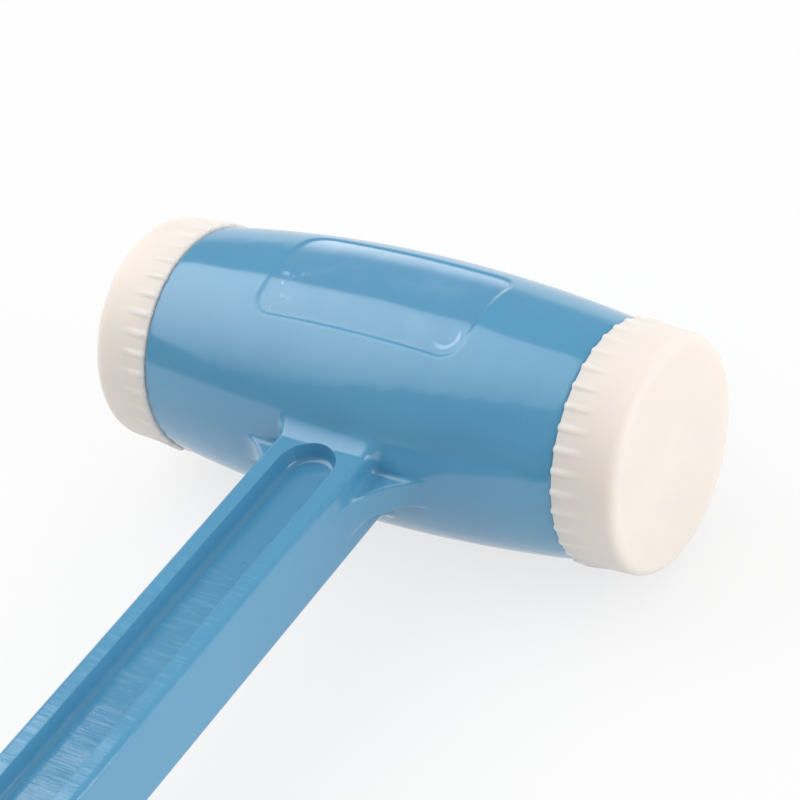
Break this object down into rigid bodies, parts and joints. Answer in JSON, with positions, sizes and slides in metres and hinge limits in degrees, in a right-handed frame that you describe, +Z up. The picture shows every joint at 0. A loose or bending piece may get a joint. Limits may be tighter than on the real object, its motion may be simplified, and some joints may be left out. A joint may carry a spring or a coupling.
{
  "type": "soft face hammer",
  "caption": "Dead-blow soft face hammer: a crowned cast head and channelled handle in one piece, screw-in nylon faces with ribbed rims, loose shot inside and a rubber grip.",
  "frame": {"origin": "Under the middle of the hammer's box, on the surface that it lies on", "axes": "X along the head, toward the right face; Y along the handle, from the butt toward the head; Z up, out of the label recess"},
  "size_m": [0.1244, 0.325, 0.0554],
  "materials": {
    "painted_casting": "gloss light blue enamel over cast aluminium",
    "clear_film": "clear gloss film, blank",
    "nylon": "warm white moulded nylon, satin",
    "elastomer": "dark grey elastomer, matt",
    "steel": "plain bright steel",
    "grip_rubber": "black moulded rubber, matt"
  },
  "bodies": {
    "hammer": {"hammer_body": "painted_casting", "label_film": "clear_film", "rubber_grip": "grip_rubber", "shot_canister": "steel", "left_canister_cap": "steel", "right_canister_cap": "steel"},
    "left_pad": {"left_cushion_pad": "elastomer"},
    "left_face": {"left_face": "nylon"},
    "right_pad": {"right_cushion_pad": "elastomer"},
    "right_face": {"right_face": "nylon"},
    "shot": {"steel_shot": "steel"}
  },
  "joints": [
    {"name": "left_face_advance", "type": "slide", "parent": "hammer", "child": "left_pad", "axis": [-1, 0, 0], "range_m": [0, 0.018]},
    {"name": "left_face_turn", "type": "hinge", "parent": "left_pad", "child": "left_face", "pos_m": [-0.0487, 0.1347, 0.0278], "axis": [-1, 0, 0], "range_deg": [0, 2160]},
    {"name": "right_face_advance", "type": "slide", "parent": "hammer", "child": "right_pad", "axis": [1, 0, 0], "range_m": [0, 0.018]},
    {"name": "right_face_turn", "type": "hinge", "parent": "right_pad", "child": "right_face", "pos_m": [0.0487, 0.1347, 0.0278], "axis": [1, 0, 0], "range_deg": [0, 2160]},
    {"name": "shot_slide", "type": "slide", "parent": "hammer", "child": "shot", "axis": [1, 0, 0], "range_m": [-0.0069, 0.0069]}
  ],
  "couplings": [
    {"joint": "left_face_advance", "follows": "left_face_turn", "m_per_rad": 0.00047746},
    {"joint": "right_face_advance", "follows": "right_face_turn", "m_per_rad": 0.00047746}
  ]
}
